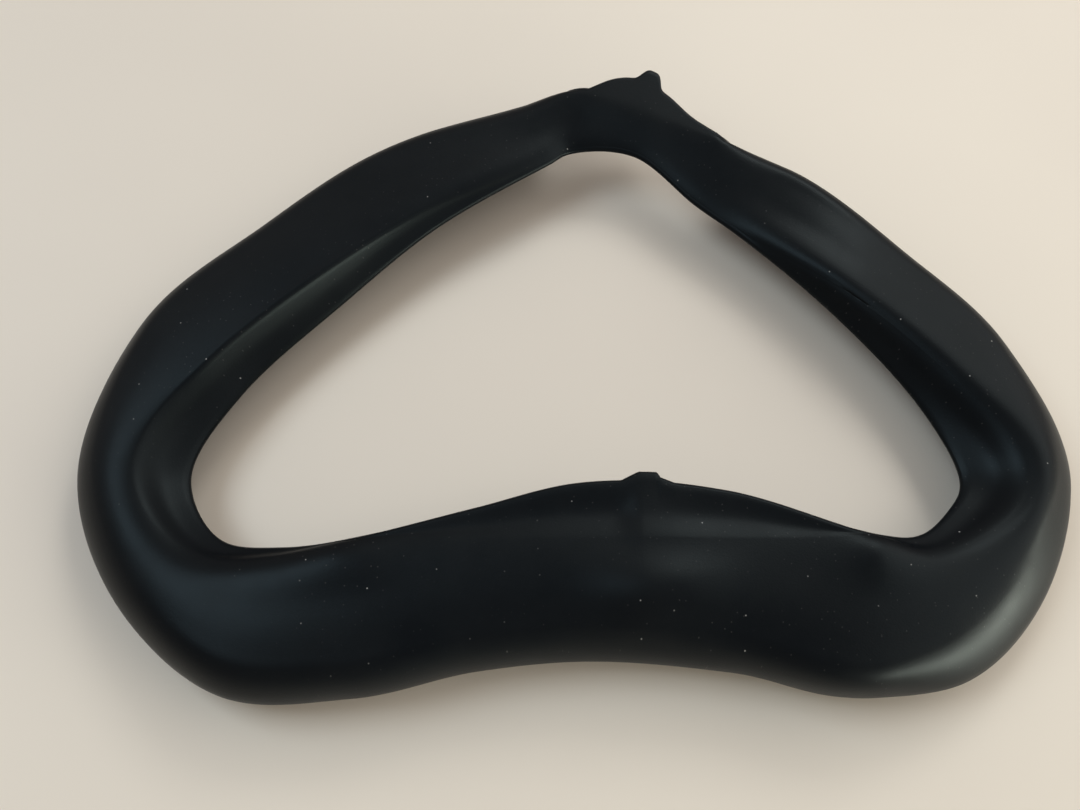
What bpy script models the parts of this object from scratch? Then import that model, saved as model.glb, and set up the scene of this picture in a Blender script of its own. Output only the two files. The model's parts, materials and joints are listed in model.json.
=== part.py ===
"""Silicone face cover of a head-mounted display, lying face side up and off its cushion.

The cover is one limp ring. It is modelled as its moulded zones: the panels that touch the face,
the outer walls, the hems that hook behind the cushion, the lips round the eye opening and two tabs.
Lengths are in metres, +Z is up, the table is z = 0, -Y is the forehead and +Y is the nose.
"""

import math

import bpy
import numpy as np
from mathutils import Matrix

# The ring between its outer edges. Its stations are drawn in millimetres on a ring of the drawn
# width and depth, and follow these two.
WIDTH = 0.1900
DEPTH = 0.1276
DRAWN_WIDTH = 190.0
DRAWN_DEPTH = 127.6

# Silicone sheet, the turned-in hem, and the clearance between neighbouring zones.
WALL = 0.0014
GAP = 0.0003
HEM_WIDTH = 0.0070
BULGE_HEIGHT = 0.0060
LIP_BOW = 0.0006

# Living hinges: a lip starts half of HINGE_GAP from its hinge line, HINGE_WALL thick,
# and reaches the full wall after HINGE_GROOVE.
HINGE_GAP = 0.0008
HINGE_WALL = 0.0004
HINGE_GROOVE = 0.0016

# Height of the straight crease that the forehead lips hinge on.
FOREHEAD_CREASE_HEIGHT = 0.0170

# The flared nose lip: its slope, and its free edge as (share of the hinge line, reach).
NOSE_LIP_SLOPE = math.radians(11)
NOSE_LIP_EDGE = (
    (0.00, 0.0012),
    (0.12, 0.0066),
    (0.26, 0.0098),
    (0.38, 0.0102),
    (0.54, 0.0082),
    (0.75, 0.0040),
    (1.00, 0.0012),
)
NOSE_LIP_ROWS = 15

# Tabs on the free edges: the place of the middle, the base and top widths, and the reach.
FOREHEAD_TAB_X = 0.0135
FOREHEAD_TAB_BASE = 0.0085
FOREHEAD_TAB_TOP = 0.0034
FOREHEAD_TAB_REACH = 0.0020
NOSE_TAB_SHARE = 0.40
NOSE_TAB_BASE = 0.0060
NOSE_TAB_TOP = 0.0030
NOSE_TAB_REACH = 0.0024

# Profiles across the band: inset and height of the shoulder, rise of the crown over the chord,
# height of the crease, height of the lip's free edge, and how much of the outer wall there is.
PROFILES = {
    "nose": (0.0015, 0.0150, 0.0005, 0.0090, 0.0080, 0.25),
    "bridge": (0.0030, 0.0145, 0.0010, 0.0125, 0.0105, 0.60),
    "cheek_top": (0.0050, 0.0130, 0.0015, 0.0160, 0.0100, 1.00),
    "cheek": (0.0050, 0.0125, 0.0018, 0.0170, 0.0095, 1.00),
    "cheek_low": (0.0050, 0.0120, 0.0022, 0.0160, 0.0090, 1.00),
    "temple": (0.0050, 0.0120, 0.0035, 0.0115, 0.0085, 1.00),
    "corner": (0.0050, 0.0125, 0.0035, 0.0120, 0.0095, 1.00),
    "brow": (0.0050, 0.0135, 0.0030, 0.0140, 0.0115, 1.00),
    "forehead": (0.0050, 0.0150, 0.0025, FOREHEAD_CREASE_HEIGHT, 0.0165, 1.00),
}


def drawn(x, y):
    """A place on the drawn ring, in metres on the real one."""
    return x * WIDTH / DRAWN_WIDTH, y * DEPTH / DRAWN_DEPTH


FOREHEAD_CREASE_Y = drawn(0.0, -40.7)[1]
TEMPLE_FOLD_Y = drawn(0.0, -26.4)[1]


def forehead(x, outer_y, lip):
    """A forehead station, whose lip starts at the straight crease."""
    outer = drawn(x, outer_y)
    return "forehead", outer, (outer[0], FOREHEAD_CREASE_Y + lip), lip


def temple(outer_x, inner_x, lip):
    """A temple station, which lies on the straight line that the cover folds on."""
    return "temple", (drawn(outer_x, 0.0)[0], TEMPLE_FOLD_Y), (drawn(inner_x, 0.0)[0], TEMPLE_FOLD_Y), lip


# Stations round the loop, from the nose over the left temple to the forehead, and back over the
# right temple: profile, outer edge, inner edge, width of the lip.
STATIONS = (
    ("nose", drawn(0.0, 61.6), drawn(0.0, 49.7), 0.0015),
    ("bridge", drawn(-11.1, 59.4), drawn(-4.6, 45.1), 0.0015),
    ("cheek_top", drawn(-44.0, 48.1), drawn(-29.1, 29.1), 0.0035),
    ("cheek", drawn(-63.0, 33.4), drawn(-45.1, 13.6), 0.0042),
    ("cheek_low", drawn(-89.2, 4.2), drawn(-66.7, -10.7), 0.0055),
    temple(-94.2, -72.6, 0.0090),
    ("corner", drawn(-80.7, -53.2), drawn(-64.1, -38.8), 0.0095),
    ("brow", drawn(-61.8, -65.9), drawn(-53.2, -40.8), 0.0060),
    forehead(-40.0, -66.0, 0.0010),
    forehead(-18.0, -61.5, 0.0060),
    forehead(0.0, -59.5, 0.0106),
    forehead(22.0, -60.5, 0.0106),
    forehead(50.0, -66.0, 0.0020),
    ("brow", drawn(68.7, -63.4), drawn(62.5, -38.5), 0.0060),
    ("corner", drawn(85.8, -49.2), drawn(70.6, -33.0), 0.0094),
    temple(95.0, 73.4, 0.0100),
    ("cheek_low", drawn(87.7, 2.2), drawn(67.9, -10.6), 0.0050),
    ("cheek", drawn(69.9, 25.8), drawn(53.3, 9.5), 0.0030),
    ("cheek_top", drawn(49.6, 44.0), drawn(35.3, 27.8), 0.0018),
    ("bridge", drawn(33.0, 50.9), drawn(26.5, 34.9), 0.0015),
    ("nose", drawn(18.2, 55.9), drawn(15.1, 49.7), 0.0015),
)
LOOP = len(STATIONS)
FRONT = 10

# How many stations from the front the zones meet, the forehead lips end and the hems end. The
# temple zones end at the temple stations, where the cover folds.
FOREHEAD_STATIONS = 2.4
TEMPLE_STATIONS = 5.0
CHEEK_STATIONS = 8.8
FLEX_STATIONS = 2.0
HEM_STATIONS = 8.0

# Places on the loop, counted in stations: where the zones start and end, where the forehead lips
# flex, where the hem and the wall stop, and where the nose lip's hinge line starts and ends.
LEFT_ENDS = {
    "nose": (0.0, FRONT - CHEEK_STATIONS),
    "cheek": (FRONT - CHEEK_STATIONS, FRONT - TEMPLE_STATIONS),
    "temple": (FRONT - TEMPLE_STATIONS, FRONT - FOREHEAD_STATIONS),
    "forehead": (FRONT - FOREHEAD_STATIONS, FRONT),
}
RIGHT_ENDS = {
    "forehead": (FRONT, FRONT + FOREHEAD_STATIONS),
    "temple": (FRONT + FOREHEAD_STATIONS, FRONT + TEMPLE_STATIONS),
    "cheek": (FRONT + TEMPLE_STATIONS, FRONT + CHEEK_STATIONS),
    "nose": (FRONT + CHEEK_STATIONS, LOOP),
}
FLEX_ENDS = (FRONT - FLEX_STATIONS, FRONT + FLEX_STATIONS)
HEM_ENDS = (FRONT - HEM_STATIONS, FRONT + HEM_STATIONS)
WALL_ENDS = (0.2, 19.0)
NOSE_HINGE = (20.80, 19.05)

# Rows along the loop in each station, the strips across the band, and the points across each strip.
ROWS_PER_STATION = 5
ACROSS = ("hem", "wall", "panel", "lip")
COLUMN_COUNTS = {"hem": 2, "wall": 6, "panel": 7, "lip": 5}

# Places across a section, counted in its points.
SHOULDER = 2
CREASE = 4
EDGE = 6

SILICONE_COLOUR = (0.012, 0.013, 0.014, 1.0)
SILICONE_ROUGHNESS = 0.5


def spline(points, at, closed=False, first=None, axes=None):
    """A smooth curve through points, at places counted in points, with steps measured on some axes."""
    points = np.asarray(points, float)
    at = np.atleast_1d(np.asarray(at, float))
    if closed:
        points = np.vstack([points[-1:], points, points[:2]])
        at = at + 1
    steps = np.linalg.norm(np.diff(points[:, :axes], axis=0), axis=1)[:, None]
    rates = np.diff(points, axis=0) / steps
    middle = (rates[:-1] * steps[1:] + rates[1:] * steps[:-1]) / (steps[:-1] + steps[1:])
    start = rates[0] if first is None else np.asarray(first, float)
    slopes = np.vstack([start, middle, rates[-1]])
    i = np.clip(at.astype(int), 0, len(points) - 2)
    t = (at - i)[:, None]
    ends = points[i] * (2 * t**3 - 3 * t**2 + 1) + points[i + 1] * (3 * t**2 - 2 * t**3)
    bends = slopes[i] * (t**3 - 2 * t**2 + t) + slopes[i + 1] * (t**3 - t**2)
    return ends + steps[i] * bends


def lengths_along(points):
    """The length along a line at each of its points."""
    return np.concatenate([[0.0], np.cumsum(np.linalg.norm(np.diff(points, axis=0), axis=1))])


def resample(points, count, trim_start=0.0, trim_end=0.0):
    """The same line as evenly spaced points, cut back at its ends."""
    along = lengths_along(points)
    at = np.linspace(trim_start, along[-1] - trim_end, count)
    return np.stack([np.interp(at, along, axis) for axis in points.T], axis=1)


def unit(vector):
    return np.asarray(vector, float) / np.linalg.norm(vector)


TABLE = np.array([(*outer, *inner, lip, *PROFILES[name]) for name, outer, inner, lip in STATIONS])


def table_at(at):
    """Outer and inner edge of the band, and its profile, at a place on the loop."""
    values = spline(TABLE, at, closed=True, axes=4)[0]
    return values[0:2], values[2:4], values[4:]


def shoulder_at(at):
    """The shoulder of the band in world space."""
    outer, inner, profile = table_at(at)
    return np.append(outer + unit(inner - outer) * profile[1], profile[2])


# The nose lip's straight hinge line runs between two shoulder points.
NOSE_LINE = [shoulder_at(at) for at in NOSE_HINGE]


def station(at):
    """Outer point, unit vector to the inner edge, width of the band and the profile at a place.

    The forehead crease and the shoulder along the nose lip are straight, because lips hinge on them.
    """
    outer, inner, profile = table_at(at)
    inward = unit(inner - outer)
    if FLEX_ENDS[0] <= at <= FLEX_ENDS[1]:
        profile[0] = (inner[1] - FOREHEAD_CREASE_Y) / inward[1]
        profile[4] = FOREHEAD_CREASE_HEIGHT
    if NOSE_HINGE[1] <= at <= NOSE_HINGE[0]:
        start, line = NOSE_LINE[0], NOSE_LINE[1] - NOSE_LINE[0]
        inset, share = np.linalg.solve(np.column_stack([inward, -line[:2]]), start[:2] - outer)
        profile[1:3] = inset, start[2] + share * line[2]
    return outer, inward, np.linalg.norm(inner - outer), profile


def section(at, strip):
    """The middle of the wall across one strip, as points (inward from the outer edge, up)."""
    _, _, band, (lip, inset, shoulder, crown, crease, edge, skirt) = station(at)
    if strip == "hem":
        return np.array([(inset + HEM_WIDTH, WALL / 2), (inset, WALL / 2)])
    fold = band - lip
    middle = (inset + fold) / 2, (shoulder + crease) / 2 + crown
    bowed = (fold + band) / 2, (crease + edge) / 2 - LIP_BOW
    shape = [(inset, WALL / 2), (0.0, BULGE_HEIGHT), (inset, shoulder), middle]
    shape += [(fold, crease), bowed, (band, edge)]
    foot = SHOULDER * (1 - min(skirt, 1.0))
    spans = {"wall": (foot, SHOULDER), "panel": (SHOULDER, CREASE), "lip": (CREASE, EDGE)}
    return spline(shape, np.linspace(*spans[strip], 41), first=(-1.0, 0.0))


def setback(at, strip, following):
    """How far two strips stop short of the line where they meet, so that their edges stay apart."""
    if following == "lip" and FLEX_ENDS[0] <= at <= FLEX_ENDS[1]:
        return HINGE_GAP / 2
    if following == "panel" and NOSE_HINGE[1] <= at <= NOSE_HINGE[0]:
        return HINGE_GAP / 2
    ax, ay = np.diff(resample(section(at, strip), COLUMN_COUNTS[strip]), axis=0)[-1]
    bx, by = np.diff(resample(section(at, following), COLUMN_COUNTS[following]), axis=0)[0]
    turn = math.atan2(ax * by - ay * bx, ax * bx + ay * by)
    return GAP / 2 + WALL / 2 * abs(math.tan(turn / 2))


def in_space(at, flat):
    """Section points of one place on the loop, in world space."""
    outer, inward, _, _ = station(at)
    flat = np.atleast_2d(flat)
    return np.column_stack([outer + flat[:, :1] * inward, flat[:, 1]])


def strip_row(at, strip):
    """One row of points across a strip."""
    place = ACROSS.index(strip)
    trim_start = setback(at, ACROSS[place - 1], strip) if place else 0.0
    trim_end = setback(at, strip, ACROSS[place + 1]) if strip != ACROSS[-1] else 0.0
    return in_space(at, resample(section(at, strip), COLUMN_COUNTS[strip], trim_start, trim_end))


def end_gap(at, strip, way):
    """How far a strip stops short of a place on the loop, in stations, going forward or back from it.

    It is half a gap, and more where the sheet leans over the section there.
    """
    step = 0.01
    row, onward = strip_row(at, strip), strip_row(at + way * step, strip)
    inward = station(at)[1]
    ahead = np.array([-inward[1], inward[0], 0.0])
    normals = np.cross(np.diff(row, axis=0), (onward - row)[:-1])
    leans = np.abs(normals @ ahead) / np.linalg.norm(normals, axis=1)
    pace = np.abs((onward - row) @ ahead).min() / step
    return (GAP / 2 + WALL / 2 * leans.max()) / pace


def places_between(strip, start, end):
    """Places of a strip's rows between two places on the loop, stopping short of both."""
    first = math.ceil(start * ROWS_PER_STATION + 0.3)
    last = math.floor(end * ROWS_PER_STATION - 0.3)
    inner = [i / ROWS_PER_STATION for i in range(first, last + 1)]
    return [start + end_gap(start, strip, 1), *inner, end - end_gap(end, strip, -1)]


def strip_rows(strip, start, end):
    """Rows of a strip between two places on the loop."""
    return [strip_row(at, strip) for at in places_between(strip, start, end)]


def hinge_shares(row):
    """How much of the full wall each point of a row has, when its first point is at a living hinge."""
    return np.clip(lengths_along(row) / HINGE_GROOVE, 0.0, 1.0)


def panel_shares(start, end):
    """Shares of the wall over a panel, which thins towards the hinges of the lips."""
    shares = []
    for at in places_between("panel", start, end):
        row = strip_row(at, "panel")
        share = np.ones(len(row))
        if FLEX_ENDS[0] <= at <= FLEX_ENDS[1]:
            share = np.minimum(share, hinge_shares(row[::-1])[::-1])
        if NOSE_HINGE[1] <= at <= NOSE_HINGE[0]:
            share = np.minimum(share, hinge_shares(row))
        shares.append(share)
    return shares


def grooved(row):
    """A lip's row with its second point where the hinge groove ends."""
    length = lengths_along(row)[-1]
    groove = min(HINGE_GROOVE, length / 2)
    return np.vstack([row[:1], resample(row, len(row) - 1, trim_start=groove)])


def silicone(name):
    """The dark silicone of one zone."""
    material = bpy.data.materials.new(name + "_silicone")
    material.use_nodes = True
    shader = material.node_tree.nodes["Principled BSDF"]
    shader.inputs["Base Color"].default_value = SILICONE_COLOUR
    shader.inputs["Roughness"].default_value = SILICONE_ROUGHNESS
    shader.inputs["Metallic"].default_value = 0.0
    return material


def carrier(name, axis_point, parent=None):
    """An empty on a joint's axis, which carries the zones that move with it."""
    empty = bpy.data.objects.new(name, None)
    COVER.objects.link(empty)
    empty.parent = parent
    above = WORLD_POINTS[parent.name] if parent else np.zeros(3)
    empty.location = np.asarray(axis_point) - above
    WORLD_POINTS[name] = np.asarray(axis_point)
    return empty


def link(obj, body):
    """Adds a zone to the cover, under the empty of its body."""
    obj.data.materials.append(silicone(obj.name))
    obj.parent = body
    COVER.objects.link(obj)


def sheet(name, rows, body, shares=None):
    """A wall of silicone over a grid of points. Shares of the wall thin it towards a living hinge."""
    rows = np.asarray(rows)
    count, width = rows.shape[:2]
    corners = [i * width + j for i in range(count - 1) for j in range(width - 1)]
    faces = [(c, c + 1, c + width + 1, c + width) for c in corners]
    mesh = bpy.data.meshes.new(name)
    mesh.from_pydata((rows.reshape(-1, 3) - WORLD_POINTS[body.name]).tolist(), [], faces)
    mesh.shade_smooth()
    obj = bpy.data.objects.new(name, mesh)
    solidify = obj.modifiers.new("Wall", "SOLIDIFY")
    solidify.thickness = WALL
    solidify.offset = 0.0
    solidify.use_even_offset = True
    if shares is not None:
        full = obj.vertex_groups.new(name="full_wall")
        for index, share in enumerate(np.ravel(shares)):
            full.add([index], float(share), "REPLACE")
        solidify.vertex_group = full.name
        solidify.thickness_vertex_group = HINGE_WALL / WALL
    link(obj, body)


def tab(name, foot, along, out, widths, reach, body):
    """A flat tab that stands out from the free edge of a lip."""
    base, top = widths
    outline = [(-base / 2, GAP), (base / 2, GAP), (top / 2, reach), (-top / 2, reach)]
    curve = bpy.data.curves.new(name, "CURVE")
    curve.dimensions = "2D"
    curve.fill_mode = "BOTH"
    curve.extrude = WALL / 2
    side = curve.splines.new("POLY")
    side.points.add(len(outline) - 1)
    for point, (x, y) in zip(side.points, outline):
        point.co = (x, y, 0.0, 1.0)
    side.use_cyclic_u = True
    obj = bpy.data.objects.new(name, curve)
    turn = np.column_stack([along, out, np.cross(along, out)])
    obj.rotation_euler = Matrix(turn.tolist()).to_euler()
    obj.location = foot - WORLD_POINTS[body.name]
    link(obj, body)


def make_side(side, zones, halves):
    """Panels, walls and hems of one side, each under the half that it moves with."""
    for zone, (start, end) in zones.items():
        half = halves[zone]
        sheet(f"{zone}_panel_{side}", strip_rows("panel", start, end), half, panel_shares(start, end))
        if zone == "nose":
            continue
        wall_start = WALL_ENDS[0] if (zone, side) == ("cheek", "left") else start
        wall_end = WALL_ENDS[1] if (zone, side) == ("cheek", "right") else end
        sheet(f"{zone}_wall_{side}", strip_rows("wall", wall_start, wall_end), half)
        hem_ends = max(start, HEM_ENDS[0]), min(end, HEM_ENDS[1])
        sheet(f"{zone}_hem_{side}", strip_rows("hem", *hem_ends), half)


def make_side_lips(side, zones, halves):
    """The lips of the temple, and of the cheek and the nose, which stay with their half."""
    if side == "left":
        cheek_ends = zones["nose"][0], zones["cheek"][1]
        temple_ends = zones["temple"][0], FLEX_ENDS[0]
    else:
        cheek_ends = zones["cheek"][0], zones["nose"][1]
        temple_ends = FLEX_ENDS[1], zones["temple"][1]
    sheet(f"cheek_lip_{side}", strip_rows("lip", *cheek_ends), halves["cheek"])
    sheet(f"temple_lip_{side}", strip_rows("lip", *temple_ends), halves["temple"])


def make_forehead_lip(half):
    """The two sides of the forehead lip, hinged on the straight crease, and its tab."""
    crease = in_space(FRONT, section(FRONT, "lip")[0])[0]
    body = carrier("forehead_lip_hinge", crease, half)
    for side, ends in (("left", (FLEX_ENDS[0], FRONT)), ("right", (FRONT, FLEX_ENDS[1]))):
        rows = [grooved(row) for row in strip_rows("lip", *ends)]
        sheet(f"forehead_lip_{side}", rows, body, [hinge_shares(row) for row in rows])
    make_forehead_tab(body)


def make_forehead_tab(body):
    """The tab on the free edge of the forehead lip."""
    places = np.linspace(FRONT, FLEX_ENDS[1], 201)
    edge = np.array([in_space(at, section(at, "lip")[-1])[0] for at in places])
    foot = np.array([np.interp(FOREHEAD_TAB_X, edge[:, 0], axis) for axis in edge.T])
    near = np.abs(edge[:, 0] - FOREHEAD_TAB_X) < FOREHEAD_TAB_BASE / 2
    along = unit(edge[near][-1] - edge[near][0])
    out = unit(np.cross((0.0, 0.0, 1.0), along))
    foot += out * ((edge[near] - foot) @ out).max()
    widths = FOREHEAD_TAB_BASE, FOREHEAD_TAB_TOP
    tab("forehead_tab", foot, along, out, widths, FOREHEAD_TAB_REACH, body)


def make_nose_lip(half):
    """The flared lip behind the nose, hinged on the panel's shoulder, and its tab."""
    start, end = NOSE_LINE
    along = unit(end - start)
    level = unit(np.cross((0.0, 0.0, 1.0), along))
    out = level * math.cos(NOSE_LIP_SLOPE) - np.cross(along, level) * math.sin(NOSE_LIP_SLOPE)
    hinge = np.linspace(0.0, 1.0, NOSE_LIP_ROWS)
    shares = [share for share, _ in NOSE_LIP_EDGE]
    knots = np.interp(hinge, shares, range(len(shares)))
    reaches = spline(NOSE_LIP_EDGE, knots)[:, 1]
    rows = []
    for share, reach in zip(hinge, reaches):
        across = np.linspace(HINGE_GAP / 2, reach, COLUMN_COUNTS["lip"] + 1)
        rows.append(grooved(start + (end - start) * share + across[:, None] * out))
    body = carrier("nose_lip_hinge", start, half)
    sheet("nose_lip", rows, body, [hinge_shares(row) for row in rows])
    edge = np.array([row[-1] for row in rows])
    foot = np.array([np.interp(NOSE_TAB_SHARE, hinge, axis) for axis in edge.T])
    near = np.abs((edge - foot) @ along) < NOSE_TAB_BASE / 2
    foot += out * ((edge[near] - foot) @ out).max()
    tab("nose_tab", foot, along, out, (NOSE_TAB_BASE, NOSE_TAB_TOP), NOSE_TAB_REACH, body)


for leftover in list(bpy.data.objects):
    bpy.data.objects.remove(leftover)
COVER = bpy.data.collections.new("face_cover")
bpy.context.scene.collection.children.link(COVER)
WORLD_POINTS = {}

# The fold line lies just over the highest silicone of the two temple sections.
TEMPLES = (FRONT - TEMPLE_STATIONS, FRONT + TEMPLE_STATIONS)
FOLD_HEIGHT = max(section(at, "panel")[:, 1].max() for at in TEMPLES) + WALL
front = carrier("forehead_half", (0.0, 0.0, 0.0))
back = carrier("nose_half_fold", (0.0, TEMPLE_FOLD_Y, FOLD_HEIGHT), front)
HALVES = {"forehead": front, "temple": front, "cheek": back, "nose": back}
make_side("left", LEFT_ENDS, HALVES)
make_side("right", RIGHT_ENDS, HALVES)
make_side_lips("left", LEFT_ENDS, HALVES)
make_side_lips("right", RIGHT_ENDS, HALVES)
make_forehead_lip(front)
make_nose_lip(back)
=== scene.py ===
"""Looks of the silicone face cover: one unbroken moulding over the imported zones, on a pale table."""

import json
import math

import bpy
import numpy as np
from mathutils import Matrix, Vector


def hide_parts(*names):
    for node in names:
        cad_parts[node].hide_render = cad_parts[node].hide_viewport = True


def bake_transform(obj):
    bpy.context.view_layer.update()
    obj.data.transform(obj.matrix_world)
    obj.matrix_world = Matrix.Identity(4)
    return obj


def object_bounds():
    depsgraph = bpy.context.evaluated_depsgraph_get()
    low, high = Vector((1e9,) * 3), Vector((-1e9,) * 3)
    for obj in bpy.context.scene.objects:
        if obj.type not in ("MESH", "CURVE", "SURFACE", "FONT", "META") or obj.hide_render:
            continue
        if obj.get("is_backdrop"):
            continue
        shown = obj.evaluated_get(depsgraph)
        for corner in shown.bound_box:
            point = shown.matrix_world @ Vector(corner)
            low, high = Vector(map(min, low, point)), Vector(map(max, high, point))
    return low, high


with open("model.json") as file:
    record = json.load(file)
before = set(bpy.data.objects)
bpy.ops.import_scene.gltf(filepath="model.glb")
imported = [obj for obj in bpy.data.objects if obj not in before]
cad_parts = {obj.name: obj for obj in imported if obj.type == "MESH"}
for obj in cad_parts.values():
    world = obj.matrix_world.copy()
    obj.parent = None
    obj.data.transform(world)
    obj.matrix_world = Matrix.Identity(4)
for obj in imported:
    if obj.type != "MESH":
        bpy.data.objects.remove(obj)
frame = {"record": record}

CAD_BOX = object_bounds()

# Camera: place, aim and lens, for a picture of 1080 by 810.
CAMERA_AT = (-0.0062, -0.09475, 0.1970)
CAMERA_AIM = (-0.0062, -0.00703, 0.0)
LENS_MM = 35.0
SENSOR_MM = 36.0

# The table top lies a hair under the hem.
TABLE_HEIGHT = -0.0002

# The moulding: its wall, its hem, the round of its shoulder, and how far its lips sag for their width.
WALL = 0.0014
HEM_WIDTH = 0.0070
ROUND_WIDTH = 0.0026
LIP_BOW = 0.08

# The round stays within this share of the panel, and a crease's ridge fades out this far from the lip's edge.
ROUND_LIMIT = 0.25
RIDGE_FADE = 0.0015

# Where there is less of the outer wall than this share, it has no hem, only a narrow trimmed edge.
HEM_FROM = 0.90
TRIM_WIDTH = 0.0004

# Lines of the imported joints: the forehead crease, and the temple fold.
CREASE_Y = -0.0407
CREASE_HEIGHT = 0.0170
FOLD_Y = -0.0264

# Profiles across the band: height of the outer wall's widest place, inset and height of the shoulder,
# rise of the crown over the chord, height of the crease, height of the lip's free edge, and how much
# of the outer wall there is.
PROFILES = {
    "nose_left": (0.0060, 0.0015, 0.0150, 0.0002, 0.0117, 0.0114, 0.25),
    "nose_right": (0.0060, 0.0015, 0.0150, 0.0002, 0.0120, 0.0117, 0.25),
    "bridge_left": (0.0060, 0.0030, 0.0145, 0.0002, 0.0123, 0.0120, 0.60),
    "bridge_right": (0.0060, 0.0030, 0.0145, 0.0002, 0.0106, 0.0103, 0.60),
    "cheek_top_left": (0.0060, 0.0030, 0.0134, 0.0004, 0.0138, 0.0112, 1.00),
    "cheek_top_right": (0.0060, 0.0030, 0.0136, 0.0004, 0.0104, 0.0100, 1.00),
    "cheek_left": (0.0060, 0.0030, 0.0128, 0.0006, 0.0148, 0.0095, 1.00),
    "cheek_right": (0.0060, 0.0030, 0.0130, 0.0006, 0.0142, 0.0095, 1.00),
    "cheek_low_left": (0.0060, 0.0038, 0.0126, 0.0008, 0.0148, 0.0090, 1.00),
    "cheek_low_right": (0.0060, 0.0036, 0.0130, 0.0006, 0.0148, 0.0090, 1.00),
    "temple_left": (0.0060, 0.0048, 0.0130, 0.0008, 0.0144, 0.0092, 1.00),
    "temple_right": (0.0060, 0.0046, 0.0130, 0.0012, 0.0146, 0.0090, 1.00),
    "corner_left": (0.0060, 0.0046, 0.0136, 0.0012, 0.0142, 0.0115, 1.00),
    "corner_right": (0.0050, 0.0064, 0.0136, 0.0012, 0.0148, 0.0105, 1.00),
    "brow_left": (0.0060, 0.0042, 0.0150, 0.0010, 0.0158, 0.0140, 1.00),
    "brow_right": (0.0050, 0.0064, 0.0146, 0.0012, 0.0158, 0.0140, 1.00),
    "forehead": (0.0060, 0.0032, 0.0153, 0.0010, CREASE_HEIGHT, 0.0165, 1.00),
}


def forehead(x, outer_y, lip):
    """A forehead station, whose lip starts at the straight crease."""
    return "forehead", x, outer_y, x, CREASE_Y + lip, lip


# Stations round the loop, from the nose over the left temple to the forehead, and back over the
# right temple: profile, outer edge x and y, inner edge x and y, width of the lip.
STATIONS = (
    ("nose_left", 0.0000, 0.0616, 0.0000, 0.0480, 0.0006),
    ("bridge_left", -0.0111, 0.0594, -0.0044, 0.0448, 0.0006),
    ("cheek_top_left", -0.0431, 0.0469, -0.0290, 0.0284, 0.0032),
    ("cheek_left", -0.0644, 0.0297, -0.0468, 0.0119, 0.0050),
    ("cheek_low_left", -0.0869, 0.0067, -0.0652, -0.0082, 0.0066),
    ("temple_left", -0.0942, FOLD_Y, -0.0731, FOLD_Y, 0.0088),
    ("corner_left", -0.0802, -0.0529, -0.0644, -0.0400, 0.0050),
    ("brow_left", -0.0618, -0.0659, -0.0526, -0.0420, 0.0022),
    ("forehead", -0.0400, -0.0660, -0.0400, -0.0411, 0.0006),
    forehead(-0.0180, -0.0613, 0.0053),
    forehead(0.0000, -0.0595, 0.0100),
    forehead(0.0280, -0.0614, 0.0086),
    forehead(0.0535, -0.0658, 0.0005),
    ("brow_right", 0.0691, -0.0632, 0.0616, -0.0400, 0.0030),
    ("corner_right", 0.0858, -0.0485, 0.0704, -0.0335, 0.0070),
    ("temple_right", 0.0948, FOLD_Y, 0.0742, FOLD_Y, 0.0100),
    ("cheek_low_right", 0.0870, 0.0018, 0.0683, -0.0104, 0.0055),
    ("cheek_right", 0.0697, 0.0228, 0.0545, 0.0086, 0.0028),
    ("cheek_top_right", 0.0484, 0.0426, 0.0356, 0.0282, 0.0007),
    ("bridge_right", 0.0330, 0.0509, 0.0267, 0.0358, 0.0006),
    ("nose_right", 0.0182, 0.0559, 0.0147, 0.0469, 0.0006),
)
LOOP = len(STATIONS)
FLEX_ENDS = (8.0, 12.0)
FLEX_EASE = 0.6
NOSE_HINGE = (20.80, 19.05)
NOSE_EASE_LEFT, NOSE_EASE_RIGHT = 0.75, 0.95

# The crease at each station: how sharp it is, its ridge or groove, and the half width of that.
CREASES = (
    (0.0, 0.0, 0.0010),
    (0.0, 0.0, 0.0010),
    (0.6, 0.00004, 0.0006),
    (1.0, 0.00012, 0.0005),
    (0.8, 0.00008, 0.0006),
    (0.0, 0.0, 0.0020),
    (0.0, 0.0, 0.0020),
    (0.0, 0.0, 0.0015),
    (0.0, 0.0, 0.0010),
    (0.0, 0.0, 0.0008),
    (0.1, 0.0, 0.0006),
    (0.5, 0.0, 0.0006),
    (0.1, 0.0, 0.0010),
    (0.0, -0.0001, 0.0015),
    (0.0, -0.0002, 0.0022),
    (0.0, -0.0002, 0.0022),
    (0.2, -0.0004, 0.0016),
    (0.5, -0.0005, 0.0009),
    (0.0, 0.0, 0.0007),
    (0.0, 0.0, 0.0007),
    (0.0, 0.0, 0.0010),
)

# The flared nose lip: length of its hinge line, its slope, and its free edge as (share of the line, reach).
NOSE_LENGTH = 0.0309
NOSE_LIP_SLOPE = math.radians(-5)
NOSE_LIP_EDGE = (
    (0.00, 0.0013),
    (0.12, 0.0053),
    (0.26, 0.0075),
    (0.38, 0.0076),
    (0.54, 0.0061),
    (0.75, 0.0030),
    (1.00, 0.0009),
)
NOSE_TAB_SHARE = 0.38
NOSE_TAB_HALF = 0.0025
NOSE_TAB_REACH = 0.0031

# The forehead tab's outline: x and how far it stands out from the lip's edge.
FOREHEAD_TAB = ((0.0086, 0.0), (0.0118, 0.0017), (0.0152, 0.0018), (0.0158, 0.0008), (0.0182, 0.0))

# Low swellings under that tab, one over the lip and one over the panel: middle x and y, how far each
# slopes off to the left, to the right and across, and its height.
SWELLINGS = (
    (0.0125, -0.0360, 0.0030, 0.0100, 0.0060, 0.0007),
    (0.0140, -0.0505, 0.0100, 0.0140, 0.0060, 0.0020),
)

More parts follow.
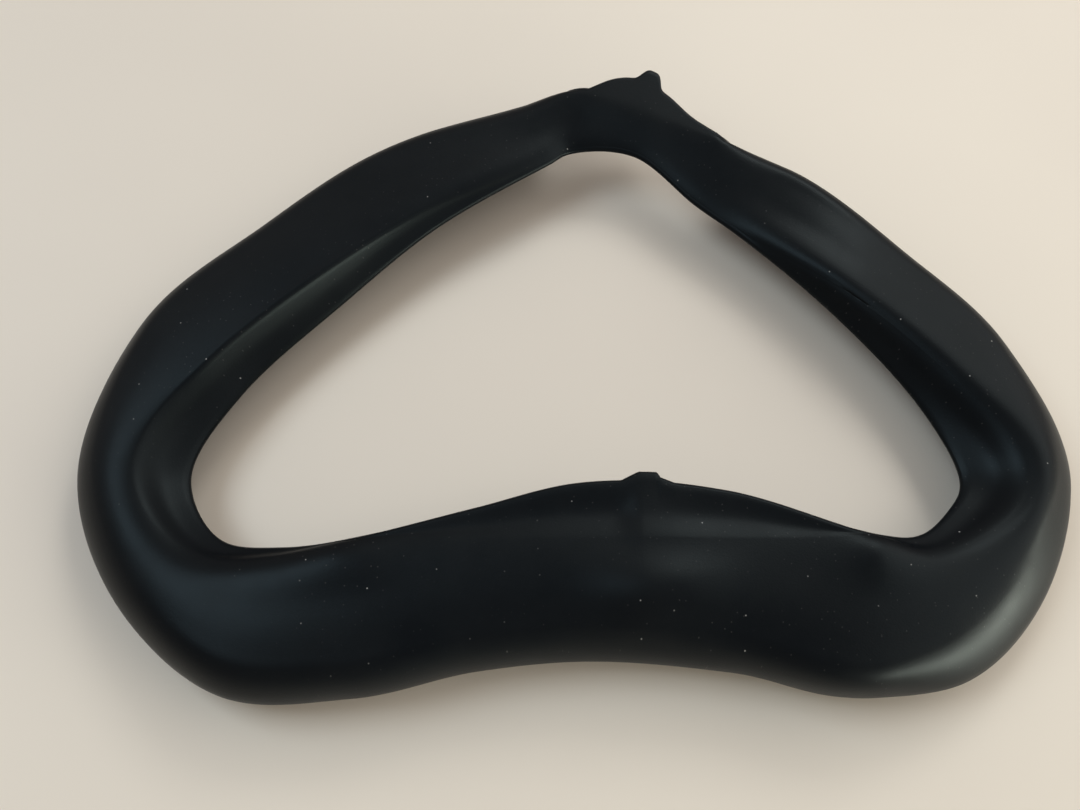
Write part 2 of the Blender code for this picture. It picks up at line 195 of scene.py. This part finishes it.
# Rows in each station, finer at the tabs, and places across a section, counted in its points. Each lip
# is split into its left and right piece where its finer rows begin.
ROWS_PER_STATION = 20
FINE_ROWS = 80
FINE_SPANS = ((10.2, 11.0), (19.8, 20.5))
HEM_COLUMNS, WALL_COLUMNS, PANEL_COLUMNS, LIP_COLUMNS = 4, 13, 18, 13
CAP_COLUMNS = 3
SHOULDER, CREASE, EDGE = 2, 5, 7


def spline(points, at, closed=False, first=None, axes=None):
    """A smooth curve through points, at places counted in points, with steps measured on some axes."""
    points = np.asarray(points, float)
    at = np.atleast_1d(np.asarray(at, float))
    if closed:
        points = np.vstack([points[-1:], points, points[:2]])
        at = at + 1
    steps = np.linalg.norm(np.diff(points[:, :axes], axis=0), axis=1)[:, None]
    rates = np.diff(points, axis=0) / steps
    middle = (rates[:-1] * steps[1:] + rates[1:] * steps[:-1]) / (steps[:-1] + steps[1:])
    start = rates[0] if first is None else np.asarray(first, float)
    slopes = np.vstack([start, middle, rates[-1]])
    i = np.clip(at.astype(int), 0, len(points) - 2)
    t = (at - i)[:, None]
    ends = points[i] * (2 * t**3 - 3 * t**2 + 1) + points[i + 1] * (3 * t**2 - 2 * t**3)
    bends = slopes[i] * (t**3 - 2 * t**2 + t) + slopes[i + 1] * (t**3 - t**2)
    return ends + steps[i] * bends


def unit(vectors):
    vectors = np.asarray(vectors, float)
    return vectors / np.linalg.norm(vectors, axis=-1, keepdims=True)


def smooth_step(t):
    t = np.clip(t, 0.0, 1.0)
    return t * t * (3 - 2 * t)


TABLE = np.array([row[1:] + PROFILES[row[0]] for row in STATIONS])


def table_at(at):
    """Outer and inner edge of the band, and its profile, at a place on the loop."""
    values = spline(TABLE, at, closed=True, axes=4)[0]
    return values[0:2], values[2:4], values[4:]


JOINTS = {joint["name"]: joint for joint in frame["record"]["behaviour"]["joints"]}
NOSE_START = np.array(JOINTS["nose_lip_flex"]["pos_m"])
NOSE_ALONG = unit(JOINTS["nose_lip_flex"]["axis"])


def station(at):
    """Outer point, unit vector to the inner edge, width of the band and the profile at a place."""
    outer, inner, profile = table_at(at)
    inward = unit(inner - outer)
    straight = smooth_step((at - FLEX_ENDS[0]) / FLEX_EASE) * smooth_step((FLEX_ENDS[1] - at) / FLEX_EASE)
    if straight > 0:
        profile[0] += straight * ((inner[1] - CREASE_Y) / inward[1] - profile[0])
        profile[5] += straight * (CREASE_HEIGHT - profile[5])
    if NOSE_HINGE[1] <= at <= NOSE_HINGE[0]:
        crossing = np.column_stack([inward, -NOSE_ALONG[:2]])
        inset, distance = np.linalg.solve(crossing, NOSE_START[:2] - outer)
        profile[2:4] = inset, NOSE_START[2] + distance * NOSE_ALONG[2]
    return outer, inward, np.linalg.norm(inner - outer), profile


def section(at, across):
    """The middle of the wall across one section, as points (inward, up)."""
    _, _, band, (lip, widest, inset, shoulder, crown, crease, edge, skirt) = station(at)
    sharp, ridge, half = [np.interp(at, range(LOOP + 1), column) for column in CREASE_TABLE.T]
    fold = band - lip
    begun = min(ROUND_WIDTH / (fold - inset), ROUND_LIMIT)
    rise = begun * (crease - shoulder) + 4 * crown * begun * (1 - begun)
    deck = inset + begun * (fold - inset), shoulder + rise
    middle = (inset + fold) / 2, (shoulder + crease) / 2 + crown
    bowed = (fold + band) / 2, (crease + edge) / 2 - LIP_BOW * lip
    shape = [(inset, WALL / 2), (0.0, widest), (inset, shoulder), deck, middle]
    shape += [(fold, crease), bowed, (band, edge)]
    foot = SHOULDER * (1 - min(skirt, 1.0))
    wall_at = np.linspace(foot, SHOULDER, WALL_COLUMNS)
    flat = spline(shape, np.concatenate([wall_at, across]), first=(-1.0, 0.0))
    panel, lips = across <= CREASE, across >= CREASE
    broken = np.zeros((len(across), 2))
    broken[panel] = spline(shape[: CREASE + 1], across[panel], first=(-1.0, 0.0))
    broken[lips] = spline(shape[CREASE:], across[lips] - CREASE)
    flat[WALL_COLUMNS:] = flat[WALL_COLUMNS:] * (1 - sharp) + broken * sharp
    tangent = np.gradient(flat, axis=0)
    normal = unit(np.column_stack([-tangent[:, 1], tangent[:, 0]]))
    steps = np.linalg.norm(np.diff(flat, axis=0), axis=1)
    along = np.concatenate([[0.0], np.cumsum(steps)])
    place = along - along[WALL_COLUMNS + PANEL_COLUMNS - 1]
    bump = ridge * np.exp(-((place / half) ** 2))
    bump *= smooth_step((along[-1] - along) / RIDGE_FADE)
    flat = flat + normal * bump[:, None]
    width = TRIM_WIDTH + (HEM_WIDTH - TRIM_WIDTH) * smooth_step((skirt - HEM_FROM) / 0.10)
    level = smooth_step((skirt - HEM_FROM) / 0.08)
    back = unit(unit(flat[0] - flat[1]) * (1 - level) + np.array((1.0, 0.0)) * level)
    hem = flat[0] + back * np.linspace(width, 0.0, HEM_COLUMNS + 1)[:-1, None]
    hem[:, 1] = np.maximum(hem[:, 1], WALL / 2)
    return np.vstack([hem, flat])


CREASE_TABLE = np.array(CREASES + CREASES[:1])

# Places of the rows round the loop.
places = [i / ROWS_PER_STATION for i in range(LOOP * ROWS_PER_STATION)]
for low, high in FINE_SPANS:
    places = [at for at in places if not low < at < high]
    places += [i / FINE_ROWS for i in range(round(low * FINE_ROWS) + 1, round(high * FINE_ROWS))]
PLACES = np.array(sorted(places))

# Places across a section after the wall, closer together at the crease.
panel_at = SHOULDER + (CREASE - SHOULDER) * (1 - (1 - np.linspace(0, 1, PANEL_COLUMNS + 1)) ** 1.6)
lip_at = CREASE + (EDGE - CREASE) * np.linspace(0, 1, LIP_COLUMNS) ** 1.5
ACROSS = np.concatenate([panel_at[1:], lip_at[1:]])
SHOULDER_COLUMN = HEM_COLUMNS + WALL_COLUMNS - 1
CREASE_COLUMN = SHOULDER_COLUMN + PANEL_COLUMNS
COLUMNS = HEM_COLUMNS + WALL_COLUMNS + len(ACROSS)


def nose_flare(at, skirt):
    """Turns the skirt of a row out into the flared nose lip, along the lip's hinge line."""
    beyond = at - NOSE_HINGE[0] if at > NOSE_HINGE[1] - 1 else at + LOOP - NOSE_HINGE[0]
    if beyond > 0:
        turned = 1 - smooth_step(beyond / NOSE_EASE_LEFT)
    else:
        turned = smooth_step(1 + (at - NOSE_HINGE[1]) / NOSE_EASE_RIGHT)
    shoulder = skirt[-1]
    share = np.clip((shoulder - NOSE_START) @ NOSE_ALONG / NOSE_LENGTH, 0.0, 1.0)
    knots = [edge[0] for edge in NOSE_LIP_EDGE]
    reach = spline(NOSE_LIP_EDGE, np.interp(share, knots, range(len(knots))))[0, 1]
    off = (share - NOSE_TAB_SHARE) * NOSE_LENGTH / NOSE_TAB_HALF
    reach += NOSE_TAB_REACH * np.exp(-(off**4))
    level = unit(np.cross((0.0, 0.0, 1.0), NOSE_ALONG))
    out = level * math.cos(NOSE_LIP_SLOPE) - np.cross(NOSE_ALONG, level) * math.sin(NOSE_LIP_SLOPE)
    spread = np.linspace(1.0, 0.0, len(skirt))[:, None]
    flared = shoulder + out * reach * spread
    return skirt * (1 - turned) + flared * turned


def forehead_details(row):
    """The tab on the forehead lip's edge, and the low swellings under it."""
    x = row[CREASE_COLUMN, 0]
    lip = np.linspace(0.0, 1.0, COLUMNS - CREASE_COLUMN)
    tab_x, tab_reach = zip(*FOREHEAD_TAB)
    row[CREASE_COLUMN:, 1] += np.interp(x, tab_x, tab_reach, 0.0, 0.0) * smooth_step((lip - 0.6) / 0.4)
    for middle_x, middle_y, left, right, across, height in SWELLINGS:
        off = (x - middle_x) / (left if x < middle_x else right)
        beside = (row[SHOULDER_COLUMN:, 1] - middle_y) / across
        row[SHOULDER_COLUMN:, 2] += height * np.exp(-(off**2) - beside**2)


def middle_rows():
    """The middle of the wall as a grid: rows round the loop, columns from the hem to the lip's edge."""
    rows = []
    for at in PLACES:
        outer, inward, _, _ = station(at)
        flat = section(at, ACROSS)
        row = np.column_stack([outer + flat[:, :1] * inward, flat[:, 1]])
        if at > NOSE_HINGE[1] - NOSE_EASE_RIGHT or at < NOSE_HINGE[0] + NOSE_EASE_LEFT - LOOP:
            row[: SHOULDER_COLUMN + 1] = nose_flare(at, row[: SHOULDER_COLUMN + 1])
        if FLEX_ENDS[0] <= at <= FLEX_ENDS[1]:
            forehead_details(row)
        rows.append(row)
    grid = np.array(rows)
    round_loop = np.where(PLACES > LOOP / 2, PLACES - LOOP, PLACES)
    softness = smooth_step((1.7 - round_loop) / 1.0) * smooth_step((round_loop + 3.2) / 1.0) / 2
    bend = slice(SHOULDER_COLUMN - 5, SHOULDER_COLUMN + 6)
    for _ in range(12):
        pull = (grid[:, :-2] + grid[:, 2:]) / 2 - grid[:, 1:-1]
        grid[:, bend] += (softness[:, None, None] * pull)[:, bend.start - 1 : bend.stop - 1]
    return grid


def skin(grid):
    """Closed loops round the wall: its upper side, a round lip edge, its lower side, a round hem edge."""
    along = unit(np.roll(grid, -1, axis=0) - np.roll(grid, 1, axis=0))
    over = unit(np.gradient(grid, axis=1))
    normal = unit(np.cross(along, over))
    thick = normal * WALL / 2
    upper, lower = grid + thick, grid - thick
    turns = np.linspace(0, math.pi, CAP_COLUMNS + 2)[1:-1]
    lip_cap = [grid[:, -1] + thick[:, -1] * math.cos(a) + over[:, -1] * WALL / 2 * math.sin(a) for a in turns]
    hem_cap = [grid[:, 0] - thick[:, 0] * math.cos(a) - over[:, 0] * WALL / 2 * math.sin(a) for a in turns]
    loops = np.concatenate(
        [upper, np.stack(lip_cap, axis=1), lower[:, ::-1], np.stack(hem_cap, axis=1)], axis=1
    )
    return loops


def zone_of_column(column):
    """The strip that the part of a loop after this column belongs to."""
    if column < COLUMNS - 1:
        place = column
    elif column < COLUMNS + CAP_COLUMNS:
        return "lip"
    elif column < 2 * COLUMNS + CAP_COLUMNS - 1:
        place = 2 * COLUMNS + CAP_COLUMNS - 2 - column
    else:
        return "skirt"
    return "skirt" if place < SHOULDER_COLUMN else "panel" if place < CREASE_COLUMN else "lip"


def piece_of(at, zone):
    """The piece that a face belongs to, by the place of its row and its strip."""
    if zone == "lip" and FLEX_ENDS[0] <= at < FLEX_ENDS[1]:
        return "forehead_lip_left" if at < FINE_SPANS[0][0] else "forehead_lip_right"
    if zone == "skirt" and NOSE_HINGE[1] <= at < NOSE_HINGE[0]:
        return "nose_lip_right" if at < FINE_SPANS[1][0] else "nose_lip_left"
    return "shell"


def make_mesh(name, points, faces, normals=None):
    mesh = bpy.data.meshes.new(name)
    mesh.from_pydata(np.asarray(points).tolist(), [], faces)
    mesh.shade_smooth()
    if normals is not None:
        mesh.normals_split_custom_set_from_vertices(normals.tolist())
    obj = bpy.data.objects.new(name, mesh)
    bpy.context.scene.collection.objects.link(obj)
    return obj


def make_pieces():
    """Cuts the whole skin into the shell and the hinged lips, which keep the whole skin's normals."""
    loops = skin(middle_rows())
    count, width = loops.shape[:2]
    points = loops.reshape(-1, 3)
    groups = {}
    whole = []
    for i in range(count):
        for j in range(width):
            face = (i * width + j, (i + 1) % count * width + j)
            face += ((i + 1) % count * width + (j + 1) % width, i * width + (j + 1) % width)
            whole.append(face)
            groups.setdefault(piece_of(PLACES[i] + 1e-6, zone_of_column(j)), []).append(face)
    full = bpy.data.meshes.new("whole")
    full.from_pydata(points.tolist(), [], whole)
    full.shade_smooth()
    normals = np.array([n.vector[:] for n in full.vertex_normals])
    bpy.data.meshes.remove(full)
    pieces = {}
    for name, faces in groups.items():
        used = sorted({corner for face in faces for corner in face})
        new = {old: i for i, old in enumerate(used)}
        local = [tuple(new[corner] for corner in face) for face in faces]
        pieces[name] = make_mesh(name, points[used], local, normals[used])
    return pieces


def add_node(tree, kind, **inputs):
    """A shader node with values set on its sockets. A name that starts with set_ is a property."""
    node = tree.nodes.new(kind)
    for name, value in inputs.items():
        if name.startswith("set_"):
            setattr(node, name[4:], value)
        else:
            node.inputs[name.replace("_", " ")].default_value = value
    return node


def silicone_material():
    """Matte black silicone with smudges, fine grain, and specks of dust."""
    material = bpy.data.materials.new("black_silicone")
    material.use_nodes = True
    tree = material.node_tree
    link = tree.links.new
    shader = tree.nodes["Principled BSDF"]
    shader.inputs["IOR"].default_value = 1.42
    shader.inputs["Specular IOR Level"].default_value = 0.17
    shader.inputs["Specular Tint"].default_value = (0.80, 0.97, 1.0, 1)
    place = tree.nodes.new("ShaderNodeTexCoord").outputs["Object"]

    smudge = add_node(tree, "ShaderNodeTexNoise", Scale=55.0, Detail=6.0, Roughness=0.6)
    grain = add_node(tree, "ShaderNodeTexNoise", Scale=2600.0, Detail=3.0, Roughness=0.6)
    specks = add_node(tree, "ShaderNodeTexVoronoi", set_voronoi_dimensions="2D", Scale=170.0)
    lint = add_node(tree, "ShaderNodeTexVoronoi", set_voronoi_dimensions="2D", Scale=900.0)
    clusters = add_node(tree, "ShaderNodeTexNoise", Scale=38.0, Detail=2.0)
    for node in (smudge, grain, specks, lint, clusters):
        link(place, node.inputs["Vector"])

    def ramp(source, low, high, start, end):
        node = add_node(tree, "ShaderNodeMapRange", From_Min=low, From_Max=high, To_Min=start, To_Max=end)
        node.clamp = True
        link(source, node.inputs["Value"])
        return node.outputs["Result"]

    def times(a, b):
        node = tree.nodes.new("ShaderNodeMath")
        node.operation = "MULTIPLY"
        link(a, node.inputs[0])
        link(b, node.inputs[1])
        return node.outputs[0]

    def chosen(texture, share):
        split = tree.nodes.new("ShaderNodeSeparateColor")
        link(texture.outputs["Color"], split.inputs["Color"])
        return ramp(split.outputs["Red"], 1 - share, 1 - share + 0.02, 0.0, 1.0)

    dusty = ramp(clusters.outputs["Fac"], 0.42, 0.62, 0.15, 1.0)
    speck_dots = ramp(specks.outputs["Distance"], 0.012, 0.028, 1.0, 0.0)
    lint_dots = ramp(lint.outputs["Distance"], 0.06, 0.14, 1.0, 0.0)
    bright = times(times(speck_dots, chosen(specks, 0.16)), dusty)
    faint = times(times(lint_dots, chosen(lint, 0.10)), dusty)

    def mix(first, second, factor):
        node = tree.nodes.new("ShaderNodeMix")
        node.data_type = "RGBA"
        link(factor, node.inputs["Factor"])
        for socket, value in ((node.inputs[6], first), (node.inputs[7], second)):
            if hasattr(value, "is_linked"):
                link(value, socket)
            else:
                socket.default_value = value
        return node.outputs[2]

    smudged = ramp(smudge.outputs["Fac"], 0.35, 0.7, 0.0, 1.0)
    base = mix((0.0022, 0.0030, 0.0042, 1), (0.0034, 0.0040, 0.0050, 1), smudged)
    dusted = mix(base, (0.03, 0.03, 0.03, 1), faint)
    link(mix(dusted, (0.28, 0.28, 0.27, 1), bright), shader.inputs["Base Color"])
    link(ramp(smudge.outputs["Fac"], 0.3, 0.7, 0.34, 0.44), shader.inputs["Roughness"])
    bump = add_node(tree, "ShaderNodeBump", Strength=0.10, Distance=0.0002)
    link(grain.outputs["Fac"], bump.inputs["Height"])
    link(bump.outputs["Normal"], shader.inputs["Normal"])
    return material


def table_material():
    """Off-white, slightly warm table top with a faint grain."""
    material = bpy.data.materials.new("pale_table")
    material.use_nodes = True
    tree = material.node_tree
    shader = tree.nodes["Principled BSDF"]
    place = tree.nodes.new("ShaderNodeTexCoord").outputs["Object"]
    noise = add_node(tree, "ShaderNodeTexNoise", Scale=12.0, Detail=3.0)
    tree.links.new(place, noise.inputs["Vector"])
    colours = tree.nodes.new("ShaderNodeValToRGB")
    colours.color_ramp.elements[0].color = (0.70, 0.640, 0.550, 1)
    colours.color_ramp.elements[1].color = (0.76, 0.700, 0.600, 1)
    tree.links.new(noise.outputs["Fac"], colours.inputs["Fac"])
    tree.links.new(colours.outputs["Color"], shader.inputs["Base Color"])
    shader.inputs["Roughness"].default_value = 0.55
    return material


def soft_room():
    """A dim, warm room: lightest half way up at the back, and darker overhead than low down in front."""
    world = bpy.data.worlds.new("soft_room")
    world.use_nodes = True
    tree = world.node_tree
    background = tree.nodes["Background"]
    background.inputs["Color"].default_value = (1.0, 0.88, 0.82, 1)
    split = tree.nodes.new("ShaderNodeSeparateXYZ")
    tree.links.new(tree.nodes.new("ShaderNodeTexCoord").outputs["Generated"], split.inputs["Vector"])
    height = add_node(tree, "ShaderNodeMapRange", From_Min=0.0, From_Max=0.8, To_Min=0.44, To_Max=0.24)
    behind = add_node(tree, "ShaderNodeMapRange", From_Min=-0.1, From_Max=0.6, To_Min=0.0, To_Max=1.0)
    raised = add_node(tree, "ShaderNodeMapRange", From_Min=0.30, From_Max=0.75, To_Min=0.02, To_Max=0.40)
    ebbing = add_node(tree, "ShaderNodeMapRange", From_Min=0.76, From_Max=0.92, To_Min=1.0, To_Max=0.1)
    band = add_node(tree, "ShaderNodeMath", set_operation="MULTIPLY")
    strength = add_node(tree, "ShaderNodeMath", set_operation="MULTIPLY_ADD")
    for ramp in (height, raised, ebbing):
        tree.links.new(split.outputs["Z"], ramp.inputs["Value"])
    tree.links.new(split.outputs["Y"], behind.inputs["Value"])
    tree.links.new(raised.outputs["Result"], band.inputs[0])
    tree.links.new(ebbing.outputs["Result"], band.inputs[1])
    tree.links.new(behind.outputs["Result"], strength.inputs[0])
    tree.links.new(band.outputs["Value"], strength.inputs[1])
    tree.links.new(height.outputs["Result"], strength.inputs[2])
    tree.links.new(strength.outputs["Value"], background.inputs["Strength"])
    return world


def area_light(name, at, aim, size, power, colour):
    light = bpy.data.lights.new(name, "AREA")
    light.shape = "RECTANGLE"
    light.size, light.size_y = size
    light.energy = power
    light.color = colour
    obj = bpy.data.objects.new(name, light)
    obj.location = at
    obj.rotation_euler = (Vector(aim) - Vector(at)).to_track_quat("-Z", "Y").to_euler()
    bpy.context.scene.collection.objects.link(obj)


pieces = make_pieces()
silicone = silicone_material()
for piece in pieces.values():
    piece.data.materials.append(silicone)

bodies = frame["record"]["behaviour"]["bodies"]
shell = pieces["shell"]
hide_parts(*bodies["forehead_half"], *bodies["nose_half"])
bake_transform(shell)

left_lip, right_lip = pieces["forehead_lip_left"], pieces["forehead_lip_right"]
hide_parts("forehead_lip_left")
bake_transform(left_lip)
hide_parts("forehead_lip_right", "forehead_tab")
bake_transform(right_lip)

nose_left, nose_right = pieces["nose_lip_left"], pieces["nose_lip_right"]
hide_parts("nose_lip", "nose_tab")
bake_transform(nose_left)
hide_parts("nose_lip")
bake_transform(nose_right)

table_corners = [(x, y, TABLE_HEIGHT) for x, y in ((-2, -2), (2, -2), (2, 2), (-2, 2))]
floor = make_mesh("table_top", table_corners, [(0, 1, 2, 3)])
floor.data.materials.append(table_material())
floor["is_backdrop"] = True

bpy.context.scene.world = soft_room()
area_light("window", (0.74, 0.23, 0.64), (0, 0, 0), (1.10, 0.85), 4.6, (1.0, 0.98, 0.95))
area_light("sky_left", (-0.49, 0.14, 0.75), (0, 0, 0.02), (0.46, 0.46), 3.0, (0.74, 0.88, 1.0))
area_light("sky_right", (0.25, 0.62, 0.60), (0, 0, 0.02), (0.26, 0.26), 1.6, (0.95, 0.95, 0.93))
area_light("side_right", (0.62, -0.40, 0.06), (0.07, -0.05, 0.01), (0.60, 0.10), 6.5, (1.0, 1.0, 0.86))

camera = bpy.data.objects.new("camera", bpy.data.cameras.new("camera"))
camera.data.lens = LENS_MM
camera.data.sensor_width = SENSOR_MM
camera.data.sensor_fit = "HORIZONTAL"
camera.data.clip_start = 0.005
camera.location = CAMERA_AT
camera.rotation_euler = (Vector(CAMERA_AIM) - Vector(CAMERA_AT)).to_track_quat("-Z", "Y").to_euler()
bpy.context.scene.collection.objects.link(camera)
bpy.context.scene.camera = camera
bpy.context.scene.view_settings.view_transform = "Standard"

boxes = {"cad": CAD_BOX, "visual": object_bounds()}
boxes = {name: [[float(v) for v in corner] for corner in box] for name, box in boxes.items()}
